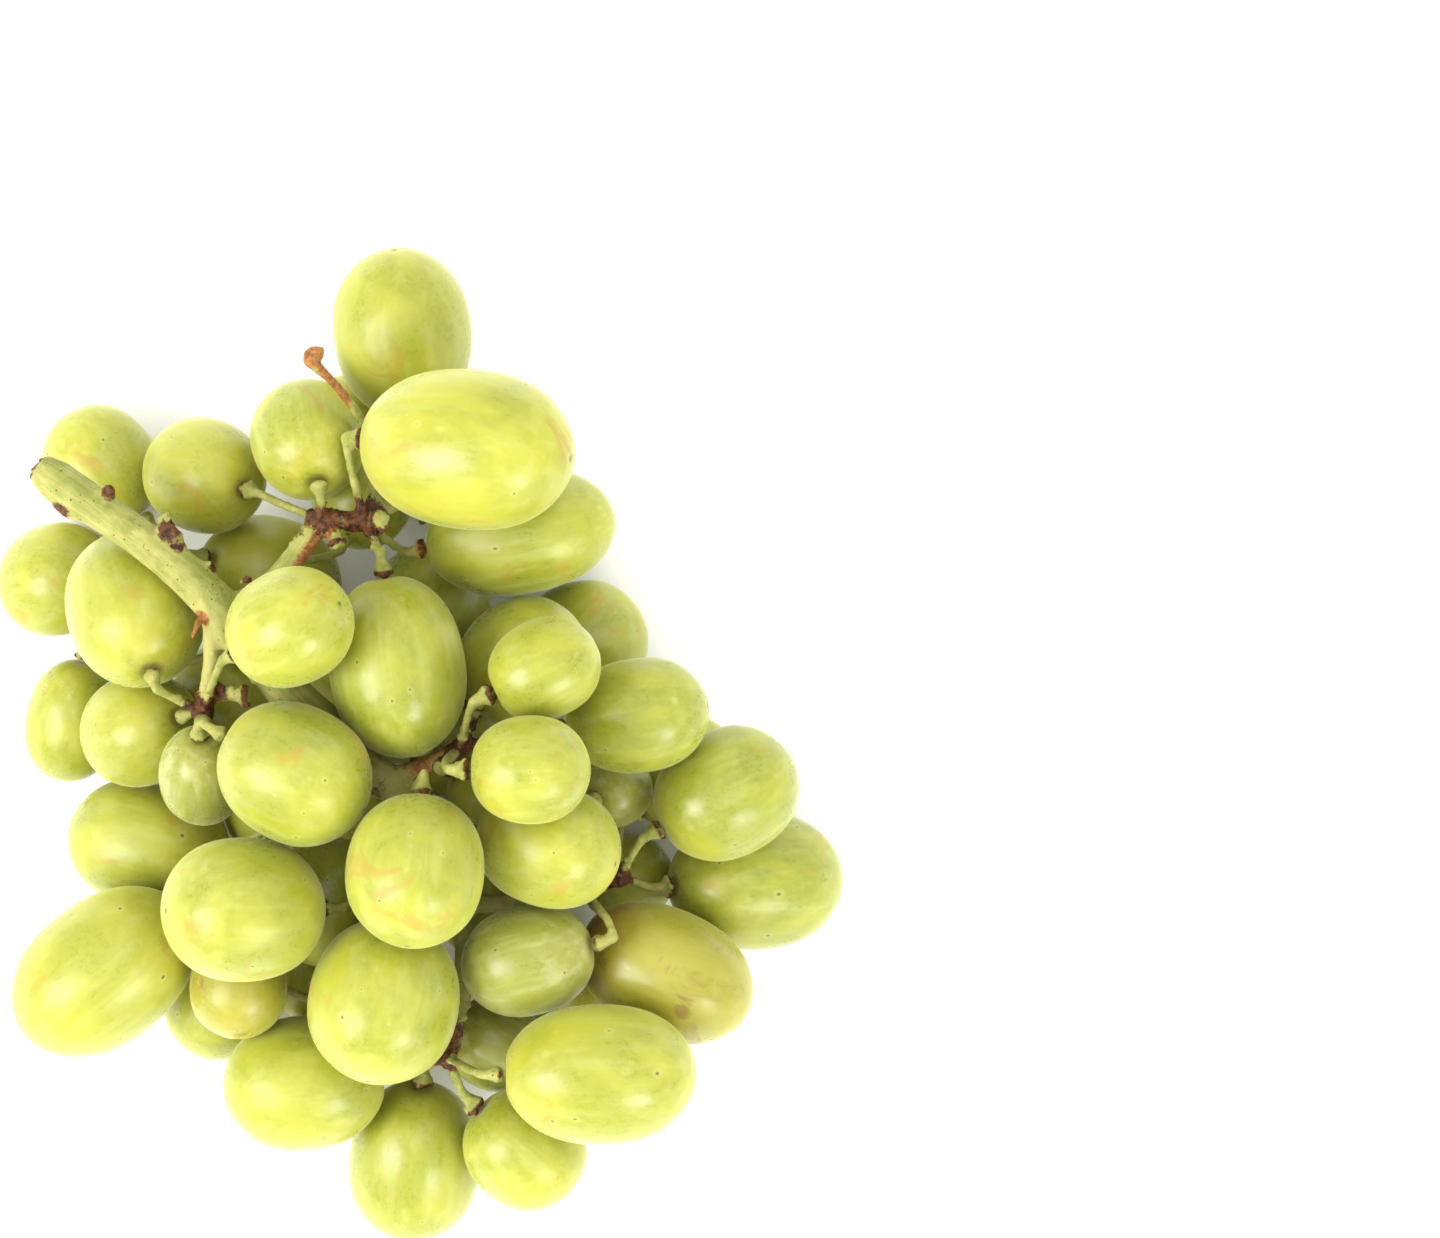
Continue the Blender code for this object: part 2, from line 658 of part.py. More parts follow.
def press_flat(item):
    # Cuts a resting berry level with the table.
    where = Matrix.LocRotScale(item.location, item.rotation_quaternion, None)
    mesh = bmesh.new()
    mesh.from_mesh(item.data)
    point = where.inverted() @ Vector((item.location.x, item.location.y, 0))
    down = where.to_3x3().inverted() @ Vector((0, 0, -1))
    parts = mesh.verts[:] + mesh.edges[:] + mesh.faces[:]
    cut = bmesh.ops.bisect_plane(mesh, geom=parts, plane_co=point, plane_no=down,
                                 clear_outer=True, dist=0.01 * MM)
    rim = [part for part in cut["geom_cut"] if isinstance(part, bmesh.types.BMEdge)]
    bmesh.ops.contextual_create(mesh, geom=rim)
    bmesh.ops.triangulate(mesh, faces=mesh.faces)
    mesh.to_mesh(item.data)
    mesh.free()


def footprint_shift(berries):
    # The move that brings the middle of the bunch's outline to the origin.
    low = np.full(2, 1.0)
    high = np.full(2, -1.0)
    for berry in berries:
        spread = np.sqrt(berry.width ** 2 + (berry.length ** 2 - berry.width ** 2) * berry.axis ** 2)
        low = np.minimum(low, (berry.middle - spread)[:2])
        high = np.maximum(high, (berry.middle + spread)[:2])
    return np.array((-(low[0] + high[0]) / 2, -(low[1] + high[1]) / 2, 0))


def main():
    for item in list(bpy.data.objects):
        bpy.data.objects.remove(item)
    berries = [Berry(row) for row in SEEN_BERRIES + HIDDEN_BERRIES]
    runs = [smooth_line(MAIN_STEM)] + [smooth_line(rows) for rows in SIDE_STEMS.values()]
    stem_places = np.vstack([points for points, _ in runs])
    stem_radii = np.hstack([radii for _, radii in runs])
    settle(berries, stem_places, stem_radii)
    shift = footprint_shift(berries)
    stem_skin = surface("stem skin", (0.46, 0.50, 0.16), 0.6)
    grape_skin = surface("grape skin", (0.60, 0.62, 0.12), 0.35)
    make_stem(berries, shift, stem_skin)
    for number, berry in enumerate(berries, start=1):
        make_berry(f"berry_{number:02d}", berry, shift, grape_skin)


main()
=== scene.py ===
import json
import math

import bmesh
import bpy
import numpy as np
from mathutils import Matrix, Vector, kdtree


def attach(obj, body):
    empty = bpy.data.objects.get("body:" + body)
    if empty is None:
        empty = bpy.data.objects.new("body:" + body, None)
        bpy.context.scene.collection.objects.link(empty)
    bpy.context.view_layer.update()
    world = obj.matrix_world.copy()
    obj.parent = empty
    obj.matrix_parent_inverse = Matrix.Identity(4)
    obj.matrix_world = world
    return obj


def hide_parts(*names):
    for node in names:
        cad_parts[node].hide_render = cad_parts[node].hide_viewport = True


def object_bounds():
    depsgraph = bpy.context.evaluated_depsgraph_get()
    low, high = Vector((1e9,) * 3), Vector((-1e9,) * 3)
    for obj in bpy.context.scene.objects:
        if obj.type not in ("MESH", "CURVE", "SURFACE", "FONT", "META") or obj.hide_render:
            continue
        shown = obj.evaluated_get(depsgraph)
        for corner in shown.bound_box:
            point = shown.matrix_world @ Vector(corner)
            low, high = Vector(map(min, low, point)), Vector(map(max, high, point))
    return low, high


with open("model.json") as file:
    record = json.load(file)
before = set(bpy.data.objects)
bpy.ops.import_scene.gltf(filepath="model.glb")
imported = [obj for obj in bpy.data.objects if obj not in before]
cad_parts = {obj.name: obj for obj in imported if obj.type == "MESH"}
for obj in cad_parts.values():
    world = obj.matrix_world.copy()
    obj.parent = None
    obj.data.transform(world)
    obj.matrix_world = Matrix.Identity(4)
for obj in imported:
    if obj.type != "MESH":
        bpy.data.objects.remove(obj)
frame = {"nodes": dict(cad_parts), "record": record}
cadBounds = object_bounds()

millimetre = 0.001

photo = {
    "width": 1440,
    "height": 1238,
    "pixel": 0.153 / 988,            # metres on the table for one pixel
    "eyeHeight": 1.1,                # camera above the table
    "over": (0.04613, 0.01957),      # the point of the frame that the camera looks at
    "sensor": 36.0,
    "clip": (0.05, 20),              # the nearest and farthest that the camera sees
}


def fromPhoto(across, down, height):
    # a pixel of the photograph, at a height in millimetres, as a point of the frame
    near = 1 - height * millimetre / photo["eyeHeight"]
    x = (across - photo["width"] / 2) * photo["pixel"] * near + photo["over"][0]
    y = (photo["height"] / 2 - down) * photo["pixel"] * near + photo["over"][1]
    return Vector((x, y, height * millimetre))


def runFromPhoto(run):
    return [fromPhoto(*spot) for spot in run]


# Mesh and object helpers

def newObject(name, data):
    item = bpy.data.objects.new(name, data)
    bpy.context.scene.collection.objects.link(item)
    return item


def meshPoints(mesh, kind="co"):
    values = np.zeros(len(mesh.vertices) * 3)
    mesh.vertices.foreach_get(kind, values)
    return values.reshape(-1, 3)


def setMeshPoints(mesh, points):
    mesh.vertices.foreach_set("co", points.ravel())
    mesh.update()


def addForm(item, tree, values):
    # a geometry tree on an object, with its named inputs set
    sockets = {entry.name: entry.identifier for entry in tree.interface.items_tree
               if entry.item_type == "SOCKET" and entry.in_out == "INPUT"}
    form = item.modifiers.new(tree.name, "NODES")
    form.node_group = tree
    for label, value in values.items():
        form[sockets[label]] = value
    item.update_tag()


def applyModifiers(item):
    # gives the object its modifiers' result as a plain mesh
    depsgraph = bpy.context.evaluated_depsgraph_get()
    mesh = bpy.data.meshes.new_from_object(item.evaluated_get(depsgraph), preserve_all_data_layers=True,
                                           depsgraph=depsgraph)
    before = item.data
    item.modifiers.clear()
    item.data = mesh
    bpy.data.meshes.remove(before)
    mesh.name = item.name


# Node helpers

def setInputs(tree, node, inputs):
    for key, value in inputs.items():
        if isinstance(value, bpy.types.NodeSocket):
            tree.links.new(value, node.inputs[key])
        else:
            node.inputs[key].default_value = value


def addNode(tree, kind, inputs=None, **settings):
    made = tree.nodes.new(kind)
    for name, value in settings.items():
        setattr(made, name, value)
    setInputs(tree, made, inputs or {})
    return made


def maths(tree, operation, first, second=0.0):
    return addNode(tree, "ShaderNodeMath", {0: first, 1: second}, operation=operation).outputs[0]


def plus(tree, first, second):
    return maths(tree, "ADD", first, second)


def minus(tree, first, second):
    return maths(tree, "SUBTRACT", first, second)


def times(tree, first, second):
    return maths(tree, "MULTIPLY", first, second)


def weighted(tree, start, parts):
    # a start value, and each part added by its weight
    for value, weight in parts:
        start = plus(tree, start, times(tree, value, weight))
    return start


def vectorMaths(tree, operation, first, second=(0, 0, 0)):
    return addNode(tree, "ShaderNodeVectorMath", {0: first, 1: second}, operation=operation).outputs[0]


def span(tree, value, low, high, start=0.0, end=1.0):
    # a soft step of a value between two limits
    inputs = {"Value": value, "From Min": low, "From Max": high, "To Min": start, "To Max": end}
    return addNode(tree, "ShaderNodeMapRange", inputs, interpolation_type="SMOOTHSTEP").outputs[0]


def noise(tree, place, scale, detail, roughness=0.5, distortion=0.0):
    inputs = {"Vector": place, "Scale": scale, "Detail": detail, "Roughness": roughness,
              "Distortion": distortion}
    return addNode(tree, "ShaderNodeTexNoise", inputs).outputs


def movedBySeed(tree, place, seed, step):
    # one stretch of a pattern for each seed
    shift = addNode(tree, "ShaderNodeVectorMath", {0: step, "Scale": seed}, operation="SCALE").outputs[0]
    return vectorMaths(tree, "ADD", place, shift)


def blendColour(tree, share, first, second):
    return addNode(tree, "ShaderNodeMix", {0: share, 6: first, 7: second}, data_type="RGBA").outputs[2]


def attribute(tree, name, output="Fac"):
    return addNode(tree, "ShaderNodeAttribute", attribute_name=name).outputs[output]


def newGroup(name, kind, inputs, outputs):
    # a node group with named sockets: its tree, what it is given and what it gives
    tree = bpy.data.node_groups.new(name, kind)
    for label, socketType, value in inputs:
        socket = tree.interface.new_socket(label, in_out="INPUT", socket_type=socketType)
        if value is not None:
            socket.default_value = value
    for label, socketType in outputs:
        tree.interface.new_socket(label, in_out="OUTPUT", socket_type=socketType)
    return tree, tree.nodes.new("NodeGroupInput").outputs, tree.nodes.new("NodeGroupOutput").inputs


def useGroup(tree, group, inputs):
    return addNode(tree, "ShaderNodeGroup", inputs, node_tree=group).outputs


def newMaterial(name):
    material = bpy.data.materials.new(name)
    material.use_nodes = True
    return material, material.node_tree, material.node_tree.nodes["Principled BSDF"]


# Effects that several materials share

def makeMottle():
    # clouds and fine lengthwise streaks that show through a skin
    tree, given, gives = newGroup(
        "mottle", "ShaderNodeTree",
        [("Place", "NodeSocketVector", None), ("Seed", "NodeSocketFloat", 0.0),
         ("Cloud Scale", "NodeSocketFloat", 1.3), ("Streak Scale", "NodeSocketFloat", 5.0)],
        [("Cloud", "NodeSocketFloat"), ("Streak", "NodeSocketFloat"), ("Fine", "NodeSocketFloat")])
    moved = movedBySeed(tree, given["Place"], given["Seed"], (3.7, 9.1, 5.3))
    stretched = vectorMaths(tree, "MULTIPLY", moved, (1.0, 1.0, 0.16))
    cloud = noise(tree, moved, given["Cloud Scale"], detail=3.0, roughness=0.55, distortion=0.4)[0]
    streak = noise(tree, stretched, given["Streak Scale"], detail=3.0, roughness=0.6, distortion=0.3)[0]
    fine = noise(tree, moved, scale=11.0, detail=4.0, roughness=0.65)[0]
    tree.links.new(span(tree, cloud, 0.36, 0.66), gives["Cloud"])
    tree.links.new(span(tree, streak, 0.42, 0.72), gives["Streak"])
    tree.links.new(span(tree, fine, 0.35, 0.68), gives["Fine"])
    return tree


def makeSpecks():
    # scattered round dots with a halo, some larger than others, with a share of them left out
    tree, given, gives = newGroup(
        "specks", "ShaderNodeTree",
        [("Place", "NodeSocketVector", None), ("Seed", "NodeSocketFloat", 0.0),
         ("Scale", "NodeSocketFloat", 3.4), ("Size", "NodeSocketFloat", 0.05),
         ("Share", "NodeSocketFloat", 0.6)],
        [("Mask", "NodeSocketFloat"), ("Halo", "NodeSocketFloat")])
    moved = movedBySeed(tree, given["Place"], given["Seed"], (7.3, 2.9, 4.1))
    cells = addNode(tree, "ShaderNodeTexVoronoi",
                    {"Vector": moved, "Scale": given["Scale"], "Randomness": 1.0}).outputs
    drawn = addNode(tree, "ShaderNodeSeparateColor", {"Color": cells["Color"]}).outputs
    reach = times(tree, given["Size"], plus(tree, drawn[1], 0.35))
    away = maths(tree, "DIVIDE", cells["Distance"], reach)
    kept = maths(tree, "LESS_THAN", drawn[0], given["Share"])
    for label, inner, outer in (("Mask", 0.55, 1.1), ("Halo", 1.4, 3.2)):    # in radii of the dot
        dot = minus(tree, 1.0, span(tree, away, inner, outer))
        tree.links.new(times(tree, dot, kept), gives[label])
    return tree


def makeBlemish():
    # rare russet patches, and hair-thin scratches inside some of them
    tree, given, gives = newGroup(
        "blemish", "ShaderNodeTree",
        [("Place", "NodeSocketVector", None), ("Seed", "NodeSocketFloat", 0.0),
         ("Patch Scale", "NodeSocketFloat", 1.15), ("Rarity", "NodeSocketFloat", 0.62)],
        [("Patch", "NodeSocketFloat"), ("Scratch", "NodeSocketFloat")])
    moved = movedBySeed(tree, given["Place"], given["Seed"], (1.9, 6.7, 8.3))
    patch = noise(tree, moved, given["Patch Scale"], detail=5.0, roughness=0.62, distortion=0.8)[0]
    warp = noise(tree, moved, scale=5.0, detail=2.0)["Color"]
    bent = vectorMaths(tree, "ADD", moved, vectorMaths(tree, "MULTIPLY", warp, (0.5, 0.5, 0.5)))
    lines = addNode(tree, "ShaderNodeTexVoronoi", {"Vector": bent, "Scale": 4.5}, feature="DISTANCE_TO_EDGE")
    line = minus(tree, 1.0, span(tree, lines.outputs["Distance"], 0.0, 0.03))
    where = noise(tree, moved, scale=1.7, detail=1.0)[0]
    edge = plus(tree, given["Rarity"], 0.09)    # how soft a patch's edge is
    tree.links.new(span(tree, patch, given["Rarity"], edge), gives["Patch"])
    tree.links.new(times(tree, line, span(tree, where, 0.66, 0.74)), gives["Scratch"])
    return tree


mottle = makeMottle()
specks = makeSpecks()
blemish = makeBlemish()
print("shared effects made")


# Grape skins: one recipe, three ripenesses

grapeLook = {
    "grape_skin": {
        "fresh": (0.205, 0.230, 0.012, 1), "mellow": (0.350, 0.348, 0.026, 1), "pale": (0.46, 0.48, 0.18, 1),
        "russet": (0.34, 0.21, 0.018, 1), "streaks": 0.22, "rarity": 0.59, "endRusset": 0.10,
        "radius": (1.0, 0.97, 0.30)},
    "grape_skin_clear": {
        "fresh": (0.19, 0.205, 0.022, 1), "mellow": (0.25, 0.26, 0.035, 1), "pale": (0.38, 0.40, 0.17, 1),
        "russet": (0.27, 0.17, 0.03, 1), "streaks": 0.55, "rarity": 0.64, "endRusset": 0.15,
        "radius": (1.0, 1.0, 0.45)},
    "grape_skin_amber": {
        "fresh": (0.225, 0.220, 0.014, 1), "mellow": (0.30, 0.275, 0.022, 1), "pale": (0.38, 0.36, 0.12, 1),
        "russet": (0.16, 0.062, 0.009, 1), "streaks": 0.20, "rarity": 0.56, "endRusset": 0.85,
        "radius": (1.0, 0.85, 0.25)},
}
speckColour = (0.09, 0.06, 0.015, 1)
collarRing = (0.16, 0.12, 0.025, 1)
# how strongly each mark shows, on every grape
grapeMarks = {
    "cloud": 0.55,             # clouds, and the grape's tone, which is partly painted light and shade, on the way from fresh to mellow
    "tone": 0.5,
    "haze": 0.09,
    "patch": 0.55,
    "scratch": 0.14,
    "collarRing": 0.7,
    "scar": 0.85,
    "halo": 0.22,
    "speck": 0.85,
    "specks": {"Size": 0.075, "Scale": 3.3, "Share": 0.7},
    # where on the grape, from 1 at its stem end to -1 at the other, each starts and is full
    "stemEndSpan": (0.15, 0.9),
    "stemEndLeast": 0.25,      # the least russet there, between the clouds
    "collarRingSpan": (0.972, 0.995),
    "scarSpan": (-0.9986, -0.9995),
    "rough": 0.25,             # roughness of the clean skin, and what each mark adds
    "roughCloud": 0.12,
    "roughHaze": 0.10,
    "roughPatch": 0.14,
    "hazeRelief": 0.25,        # height of the haze, where a speck is 1 deep
    "bump": {"Strength": 0.12, "Distance": 0.2 * millimetre},
}
grapeShader = {
    "Subsurface Weight": 0.8, "Subsurface Scale": 0.011, "IOR": 1.46, "Metallic": 0.0,
    "Sheen Weight": 0.30, "Sheen Roughness": 0.40, "Sheen Tint": (0.86, 0.90, 0.50, 1),
}


def makeGrapeSkin(name, look):
    material, tree, shader = newMaterial(name)
    place = attribute(tree, "grapePlace", "Vector")
    seed = attribute(tree, "grapeSeed")
    tone = attribute(tree, "grapeTone")
    marks = useGroup(tree, mottle, {"Place": place, "Seed": seed})
    dots = useGroup(tree, specks, {"Place": place, "Seed": seed, **grapeMarks["specks"]})
    flaws = useGroup(tree, blemish, {"Place": place, "Seed": seed, "Rarity": look["rarity"]})
    along = addNode(tree, "ShaderNodeSeparateXYZ", {0: place}).outputs[2]
    uneven = plus(tree, marks["Cloud"], grapeMarks["stemEndLeast"])
    nearStem = times(tree, span(tree, along, *grapeMarks["stemEndSpan"]), uneven)
    # the share of mellow colour, from the clouds and each grape's tone, which is partly its own colour and
    # partly painted light and painted shade
    ripeAndPaintedShade = weighted(tree, 0.0, ((marks["Cloud"], grapeMarks["cloud"]), (tone, grapeMarks["tone"])))
    colour = blendColour(tree, ripeAndPaintedShade, look["fresh"], look["mellow"])
    for mask, strength, paint in (
            (marks["Streak"], look["streaks"], look["pale"]),
            (marks["Fine"], grapeMarks["haze"], look["pale"]),
            (flaws["Patch"], grapeMarks["patch"], look["russet"]),
            (flaws["Scratch"], grapeMarks["scratch"], look["russet"]),
            (nearStem, look["endRusset"], look["russet"]),
            (span(tree, along, *grapeMarks["collarRingSpan"]), grapeMarks["collarRing"], collarRing),
            (span(tree, along, *grapeMarks["scarSpan"]), grapeMarks["scar"], speckColour),
            (dots["Halo"], grapeMarks["halo"], look["pale"]),
            (dots["Mask"], grapeMarks["speck"], speckColour)):
        colour = blendColour(tree, times(tree, mask, strength), colour, paint)
    rough = weighted(tree, grapeMarks["rough"], (
        (marks["Cloud"], grapeMarks["roughCloud"]), (marks["Fine"], grapeMarks["roughHaze"]),
        (flaws["Patch"], grapeMarks["roughPatch"])))
    relief = minus(tree, times(tree, marks["Fine"], grapeMarks["hazeRelief"]), dots["Mask"])
    bump = addNode(tree, "ShaderNodeBump", {**grapeMarks["bump"], "Height": relief})
    setInputs(tree, shader, {"Base Color": colour, "Roughness": rough, "Normal": bump.outputs[0],
                             "Subsurface Radius": look["radius"], **grapeShader})
    return material


grapeSkins = {name: makeGrapeSkin(name, look) for name, look in grapeLook.items()}


# Stem skin

stemLook = {
    "green": (0.165, 0.195, 0.028, 1), "cream": (0.37, 0.34, 0.10, 1), "tan": (0.12, 0.040, 0.008, 1),
    "brown": (0.022, 0.007, 0.002, 1), "russet": (0.17, 0.058, 0.010, 1), "straw": (0.37, 0.17, 0.05, 1),
    "dark": (0.025, 0.012, 0.005, 1),
}
stemMarks = {
    "broad": 0.35,             # what each adds on the way from green to cream
    "grain": 0.35,
    # painted light: the stem's lower left side, towards the left lamp, is painted paler
    "paintedLightSide": 0.4,
    "faded": 0.8,
    "dryRagged": 0.7,          # how ragged the edges of dry and of brown places are
    "brownRagged": 0.9,
    "speck": 0.85,
    "specks": {"Seed": 0.4, "Scale": 1.35, "Size": 0.20, "Share": 0.4},
    # patterns, in millimetres: scale, detail, roughness and distortion
    "broadNoise": (0.32, 3.0),
    "grainNoise": (1.0, 4.0, 0.6),
    "roughNoise": (1.5, 5.0, 0.7),
    "crustNoise": (1.1, 6.0, 0.75, 0.5),
    "roughness": (0.48, 0.72),
    "grainRelief": 0.7,
    "bump": {"Strength": 0.5, "Distance": 0.4 * millimetre},
}
stemShader = {
    "Subsurface Weight": 0.25, "Subsurface Radius": (1.0, 0.8, 0.3), "Subsurface Scale": 1.2 * millimetre,
    "Specular IOR Level": 0.25,
}


def makeStemSkin():
    material, tree, shader = newMaterial("stem_skin")
    place = addNode(tree, "ShaderNodeTexCoord").outputs["Object"]
    inMillimetres = vectorMaths(tree, "MULTIPLY", place, (1000, 1000, 1000))
    broad = noise(tree, inMillimetres, *stemMarks["broadNoise"])[0]
    grain = noise(tree, attribute(tree, "stemFibre", "Vector"), *stemMarks["grainNoise"])[0]
    rough = noise(tree, inMillimetres, *stemMarks["roughNoise"])[0]
    crust = noise(tree, inMillimetres, *stemMarks["crustNoise"])[0]
    ragged = minus(tree, rough, 0.5)
    dots = useGroup(tree, specks, {"Place": inMillimetres, **stemMarks["specks"]})
    pale = weighted(tree, 0.0, (
        (span(tree, broad, 0.38, 0.62), stemMarks["broad"]),
        (span(tree, grain, 0.4, 0.65), stemMarks["grain"]),
        # painted light: the stem's side towards the left lamp is painted paler
        (attribute(tree, "stemPaintedLightSide"), stemMarks["paintedLightSide"]),
        (attribute(tree, "stemFaded"), stemMarks["faded"])))
    colour = blendColour(tree, pale, stemLook["green"], stemLook["cream"])
    dry = weighted(tree, attribute(tree, "stemDry"), ((ragged, stemMarks["dryRagged"]),))
    dried = blendColour(tree, span(tree, crust, 0.35, 0.65), stemLook["russet"], stemLook["straw"])
    colour = blendColour(tree, span(tree, dry, 0.3, 0.7), colour, dried)
    brown = weighted(tree, attribute(tree, "stemBrown"), ((ragged, stemMarks["brownRagged"]),))
    bark = blendColour(tree, span(tree, crust, 0.4, 0.6), stemLook["brown"], stemLook["tan"])
    colour = blendColour(tree, span(tree, brown, 0.42, 0.66), colour, bark)
    colour = blendColour(tree, times(tree, dots["Mask"], stemMarks["speck"]), colour, stemLook["dark"])
    gloss = span(tree, rough, 0.3, 0.7, *stemMarks["roughness"])
    height = plus(tree, times(tree, grain, stemMarks["grainRelief"]), rough)
    bump = addNode(tree, "ShaderNodeBump", {**stemMarks["bump"], "Height": height})
    setInputs(tree, shader, {"Base Color": colour, "Roughness": gloss, "Normal": bump.outputs[0],
                             **stemShader})
    return material


stemSkin = makeStemSkin()
print("skins made")


# Grapes

grapeShape = {
    "Segments": 64,
    "Rings": 44,
    "Pole Fineness": 0.30,      # how much closer the rings stand at both ends
    "Bluntness": 0.035,         # fuller shoulders than a plain ellipsoid
    "Eggness": 0.02,            # how much wider the blossom half is
    "Wobble": 0.022,            # uneven growth, as a share of the width
    "Dimple Depth": 0.7 * millimetre,
    "Dimple Width": 2.3 * millimetre,
    "Scar Depth": 0.25 * millimetre,
    "Scar Width": 0.7 * millimetre,
}


def makeGrapeTree():
    # a long round body about +Z: stem end up, with its dimple, and the blossom scar below
    tree, given, gives = newGroup(
        "grape form", "GeometryNodeTree",
        [("Geometry", "NodeSocketGeometry", None), ("Segments", "NodeSocketInt", 64),
         ("Rings", "NodeSocketInt", 44), ("Pole Fineness", "NodeSocketFloat", 0.3),
         ("Length", "NodeSocketFloat", 0.012), ("Width", "NodeSocketFloat", 0.009),
         ("Bluntness", "NodeSocketFloat", 0.03), ("Eggness", "NodeSocketFloat", 0.02),
         ("Wobble", "NodeSocketFloat", 0.02), ("Dimple Depth", "NodeSocketFloat", 0.0007),
         ("Dimple Width", "NodeSocketFloat", 0.002), ("Scar Depth", "NodeSocketFloat", 0.0002),
         ("Scar Width", "NodeSocketFloat", 0.0007), ("Seed", "NodeSocketFloat", 0.0),
         ("Tone", "NodeSocketFloat", 0.5), ("Skin", "NodeSocketMaterial", None)],
        [("Geometry", "NodeSocketGeometry")])
    ball = addNode(tree, "GeometryNodeMeshUVSphere",
                   {"Segments": given["Segments"], "Rings": given["Rings"], "Radius": 1.0})
    spot = tree.nodes.new("GeometryNodeInputPosition").outputs[0]
    angle = maths(tree, "ARCCOSINE", addNode(tree, "ShaderNodeSeparateXYZ", {0: spot}).outputs[2])
    closer = times(tree, maths(tree, "SINE", times(tree, angle, 2.0)), given["Pole Fineness"])
    angle = minus(tree, angle, closer)
    along = maths(tree, "COSINE", angle)
    out = maths(tree, "SINE", angle)
    level = vectorMaths(tree, "NORMALIZE", vectorMaths(tree, "MULTIPLY", spot, (1, 1, 0)))
    way = addNode(tree, "ShaderNodeSeparateXYZ", {0: level}).outputs

    def pointAt(distance, height):
        inputs = {0: times(tree, way[0], distance), 1: times(tree, way[1], distance), 2: height}
        return addNode(tree, "ShaderNodeCombineXYZ", inputs).outputs[0]

    unit = pointAt(out, along)
    bulge = maths(tree, "POWER", maths(tree, "SINE", times(tree, angle, 2.0)), 2.0)
    shoulder = times(tree, bulge, given["Bluntness"])
    egg = times(tree, along, given["Eggness"])
    bumps = noise(tree, movedBySeed(tree, unit, given["Seed"], (5.1, 2.3, 7.7)), scale=0.9, detail=1.0)[0]
    uneven = times(tree, minus(tree, bumps, 0.5), times(tree, given["Wobble"], 2.0))
    girth = minus(tree, plus(tree, plus(tree, 1.0, shoulder), uneven), egg)
    radius = times(tree, times(tree, out, given["Width"]), girth)

    def pit(width, depth, sign):
        near = maths(tree, "DIVIDE", radius, width)
        bowl = maths(tree, "POWER", math.e, times(tree, times(tree, near, near), -1.0))
        side = maths(tree, "GREATER_THAN", times(tree, along, sign), 0.0)
        return times(tree, times(tree, times(tree, bowl, depth), side), sign)

    dimple = pit(given["Dimple Width"], given["Dimple Depth"], 1.0)
    scar = pit(given["Scar Width"], given["Scar Depth"], -1.0)
    height = times(tree, times(tree, along, given["Length"]), plus(tree, 1.0, times(tree, uneven, 0.5)))
    height = minus(tree, minus(tree, height, dimple), scar)
    skin = ball.outputs["Mesh"]
    for label, kind, value in (("grapePlace", "FLOAT_VECTOR", unit), ("grapeSeed", "FLOAT", given["Seed"]),
                               ("grapeTone", "FLOAT", given["Tone"])):
        inputs = {"Geometry": skin, "Name": label, "Value": value}
        skin = addNode(tree, "GeometryNodeStoreNamedAttribute", inputs,
                       data_type=kind, domain="POINT").outputs[0]
    shaped = {"Geometry": skin, "Position": pointAt(radius, height)}
    skin = addNode(tree, "GeometryNodeSetPosition", shaped).outputs[0]
    skin = addNode(tree, "GeometryNodeSetShadeSmooth", {0: skin}).outputs[0]
    skin = addNode(tree, "GeometryNodeRealizeInstances", {0: skin}).outputs[0]
    skin = addNode(tree, "GeometryNodeSetMaterial", {"Geometry": skin, "Material": given["Skin"]}).outputs[0]
    tree.links.new(skin, gives["Geometry"])
    return tree


fitUnit = 0.01       # metres; keeps the numbers of the fit near 1
fitMiss = 0.004      # points that miss the spheroid by less belong to it


def fitGrape(points):
    # the spheroid that a grape's solid was cut from: its centre, half sizes and axis
    kept = points[points[:, 2] > 0.02 * millimetre]    # without the flat spot that it may rest on
    middle = kept.mean(axis=0)
    for _ in range(2):
        p = (kept - middle) / fitUnit
        x, y, z = p.T
        table = np.stack((x * x, y * y, z * z, 2 * x * y, 2 * x * z, 2 * y * z, 2 * x, 2 * y, 2 * z), axis=1)
        fit = np.linalg.lstsq(table, np.ones(len(p)), rcond=None)[0]
        miss = np.abs(table @ fit - 1)
        kept = kept[miss <= max(fitMiss, np.sort(miss)[-3] * 0.999)]    # drops the three worst points
    quadric = np.array(((fit[0], fit[3], fit[4]), (fit[3], fit[1], fit[5]), (fit[4], fit[5], fit[2])))
    centre = -np.linalg.solve(quadric, fit[6:])
    size = 1 + centre @ quadric @ centre
    values, axes = np.linalg.eigh(quadric / size)
    halves = fitUnit / np.sqrt(values)
    return middle + centre * fitUnit, halves[0], (halves[1] + halves[2]) / 2, axes[:, 0]


swell = 1.018                      # the solids' corners stand this much outside the true skin
stalkReach = 1.2 * millimetre      # beyond the end of a grape, where its stalk is looked for
# grapes that differ from the rest: 0 is a deep green and 1 a fully ripened, pale yellow green; each value is
# partly the grape's own colour and partly painted light and painted shade, and berry_02 is painted paler
# against the shade it stands in
ripenessAndPaintedShade = {
    "berry_05": 1.0, "berry_06": 0.25, "berry_12": 0.1, "berry_17": 0.1, "berry_18": 0.0, "berry_19": 0.0,
    "berry_30": 0.95, "berry_11": 0.80, "berry_07": 0.85, "berry_29": 0.45, "berry_15": 0.35, "berry_13": 0.1,
    "berry_27": 0.30, "berry_02": 0.95, "berry_03": 0.25, "berry_33": 0.40, "berry_25": 0.75,
}
otherRipeness = (0.40, 0.90)       # the rest are drawn between these


